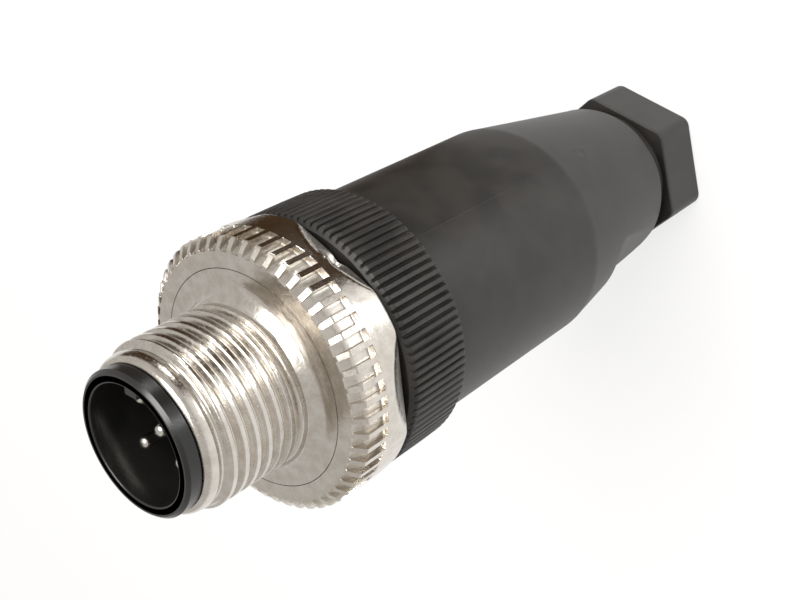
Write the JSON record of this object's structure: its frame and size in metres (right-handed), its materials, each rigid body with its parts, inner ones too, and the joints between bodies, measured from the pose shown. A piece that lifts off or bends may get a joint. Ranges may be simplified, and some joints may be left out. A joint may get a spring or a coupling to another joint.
{
  "type": "m12 connector",
  "caption": "Straight male round connector for a cable: threaded metal coupling ring, keyed cup with contact pins, knurled grip, tapered casing and hexagonal cable clamp nut.",
  "frame": {"origin": "middle of the end face of the clamp nut, which it stands on", "axes": "+Z along the connector's axis towards the contact pins; +X towards contact pin 1, +Y towards contact pin 2, the mating key halfway between +X and -Y"},
  "size_m": [0.0203, 0.0202, 0.0605],
  "materials": {
    "insert_plastic": "semi-gloss black moulded plastic",
    "pin_plating": "bright plated turned pins",
    "clamp_brass": "turned brass",
    "screw_steel": "plated steel grub screws",
    "seal_rubber": "soft black rubber",
    "grip_plastic": "satin black plastic with a fine knurl",
    "ring_plating": "nickel-plated die casting, soft and slightly pitted",
    "shell_plastic": "satin black plastic, slightly grainy",
    "cage_plastic": "natural light grey plastic"
  },
  "bodies": {
    "nut_body": {"clamp_nut": "shell_plastic"},
    "cage_body": {"clamp_cage": "cage_plastic"},
    "shell_body": {"back_shell": "shell_plastic", "gland_seal": "seal_rubber"},
    "housing_seal_body": {"housing_o_ring": "seal_rubber"},
    "insert_body": {"contact_carrier": "insert_plastic", "grip_ring": "grip_plastic", "carrier_o_ring": "seal_rubber", "contact_pin_1": "pin_plating", "contact_pin_2": "pin_plating", "contact_pin_3": "pin_plating", "contact_pin_4": "pin_plating", "contact_pin_5": "pin_plating", "terminal_clamp_1": "clamp_brass", "terminal_clamp_2": "clamp_brass", "terminal_clamp_3": "clamp_brass", "terminal_clamp_4": "clamp_brass", "terminal_clamp_5": "clamp_brass", "terminal_screws": "screw_steel"},
    "coupling_body": {"coupling_ring": "ring_plating"}
  },
  "joints": [
    {"name": "nut_turn", "type": "hinge", "parent": "nut_body", "child": "cage_body", "pos_m": [0, 0, 0.0105], "axis": [0, 0, 1], "range_deg": [0, 1080]},
    {"name": "nut_back_off", "type": "slide", "parent": "cage_body", "child": "shell_body", "axis": [0, 0, 1], "range_m": [0, 0.003]},
    {"name": "shell_turn", "type": "hinge", "parent": "shell_body", "child": "housing_seal_body", "pos_m": [0, 0, 0.0388], "axis": [0, 0, 1], "range_deg": [0, 1800]},
    {"name": "shell_back_off", "type": "slide", "parent": "housing_seal_body", "child": "insert_body", "axis": [0, 0, 1], "range_m": [0, 0.005]},
    {"name": "coupling_turn", "type": "hinge", "parent": "insert_body", "child": "coupling_body", "pos_m": [0, 0, 0.0504], "axis": [0, 0, 1], "continuous": true}
  ],
  "couplings": [
    {"joint": "nut_back_off", "follows": "nut_turn", "m_per_rad": 0.00015915},
    {"joint": "shell_back_off", "follows": "shell_turn", "m_per_rad": 0.00015915}
  ]
}
